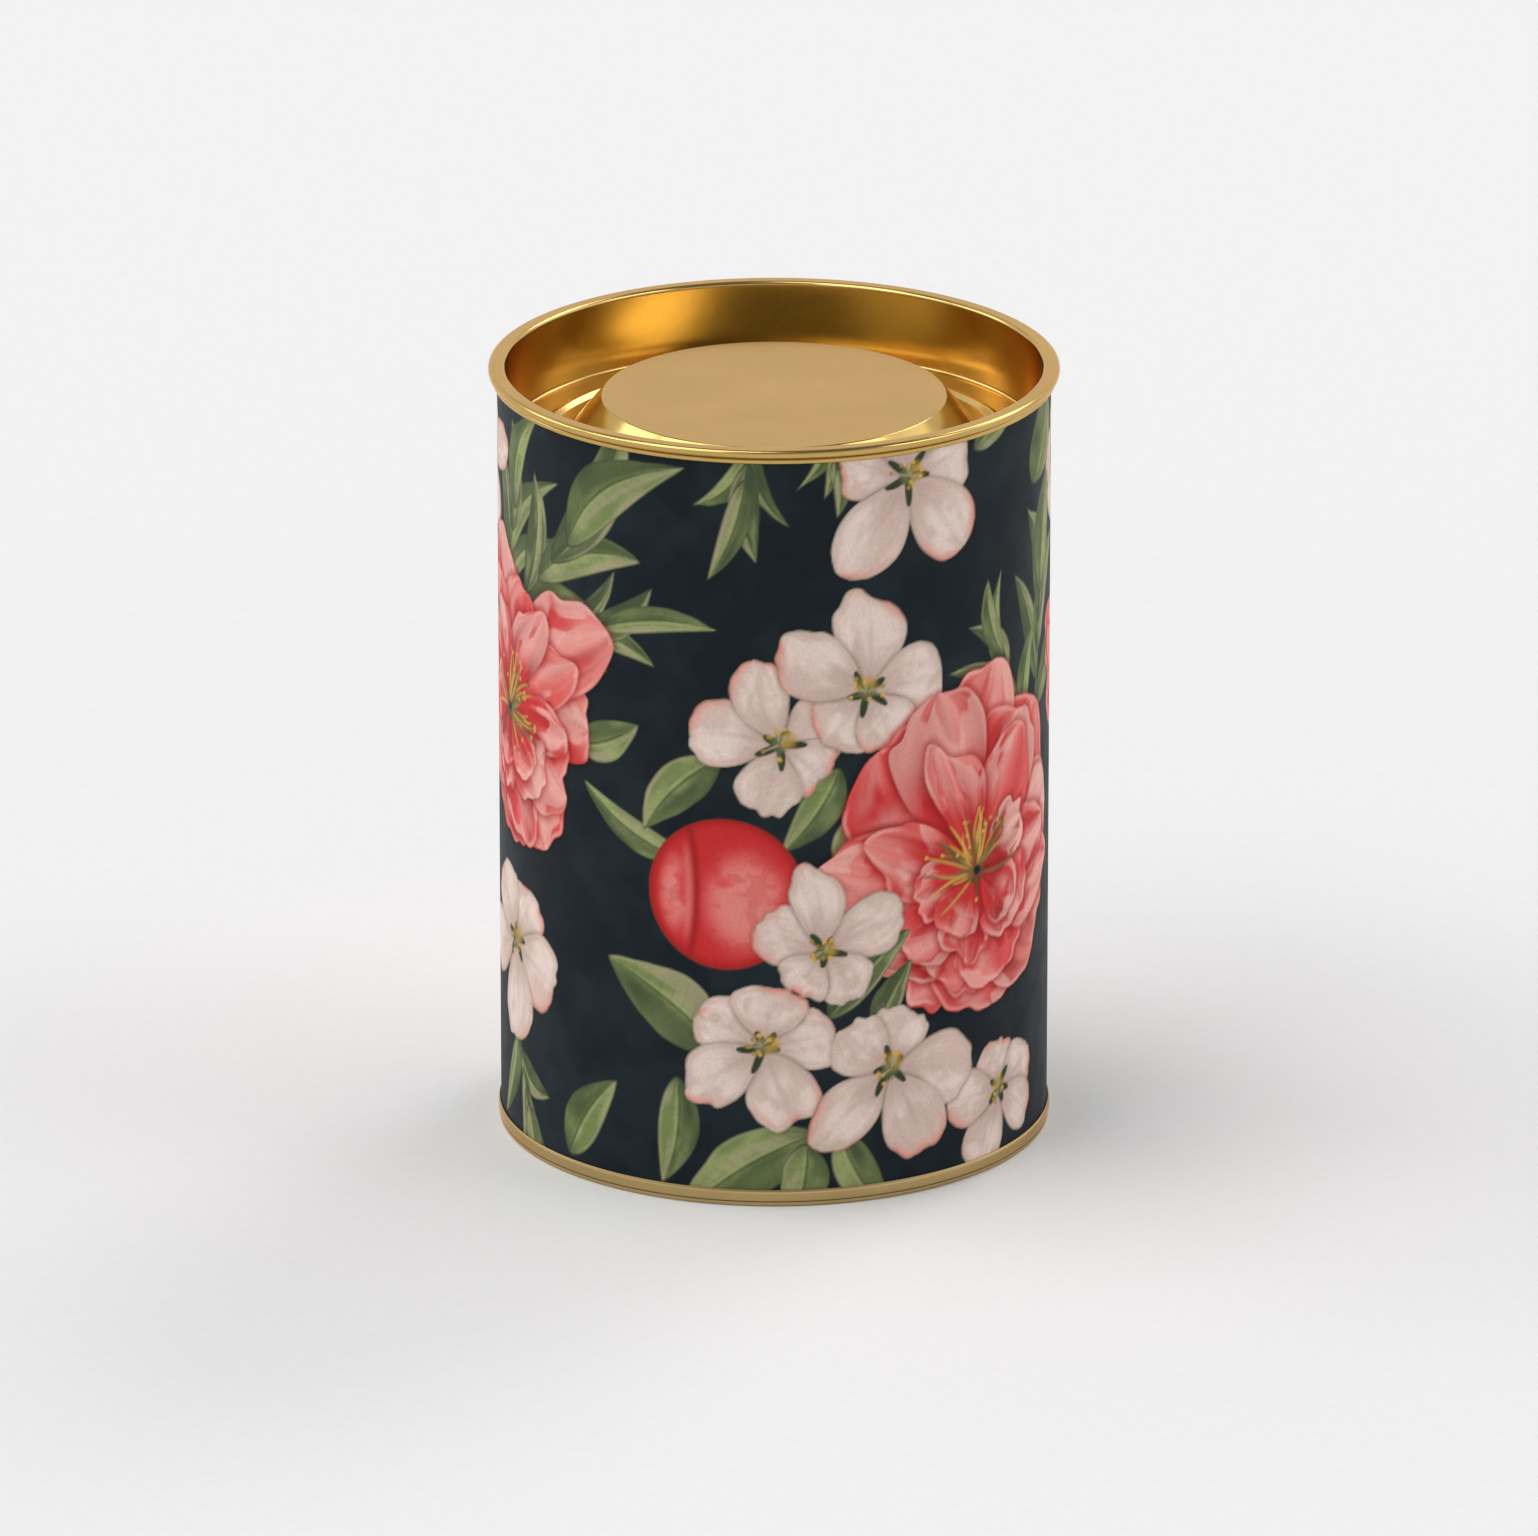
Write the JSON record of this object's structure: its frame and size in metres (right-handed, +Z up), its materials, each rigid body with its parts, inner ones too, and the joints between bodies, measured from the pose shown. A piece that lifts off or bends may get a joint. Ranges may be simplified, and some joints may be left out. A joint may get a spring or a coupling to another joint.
{
  "type": "cookie tin",
  "caption": "Round cookie tin: printed paperboard tube with crimped tinplate base, rolled mouth ring and a recessed plug lid that lifts off.",
  "frame": {"origin": "centre of the base on the resting plane", "axes": "+Z up along the tin's axis, towards the lid; -Y is the front of the label, +Y its lap seam"},
  "size_m": [0.1042, 0.1042, 0.145],
  "materials": {
    "gold_tinplate": "gold lacquered tinplate, satin gloss",
    "label_paper": "matte varnished print on dark navy",
    "board": "uncoated grey-brown board",
    "foil_liner": "foil-faced paper, soft metallic",
    "compound": "dull dark sealing compound"
  },
  "bodies": {
    "can": {"inner_liner": "foil_liner", "inner_ply": "board", "outer_ply": "board", "printed_label": "label_paper", "base_end": "gold_tinplate", "base_compound": "compound", "top_ring": "gold_tinplate", "top_compound": "compound"},
    "lid": {"lid": "gold_tinplate"}
  },
  "joints": [
    {"name": "lid_lift", "type": "slide", "parent": "can", "child": "lid", "axis": [0, 0, 1], "range_m": [0, 0.14]}
  ]
}
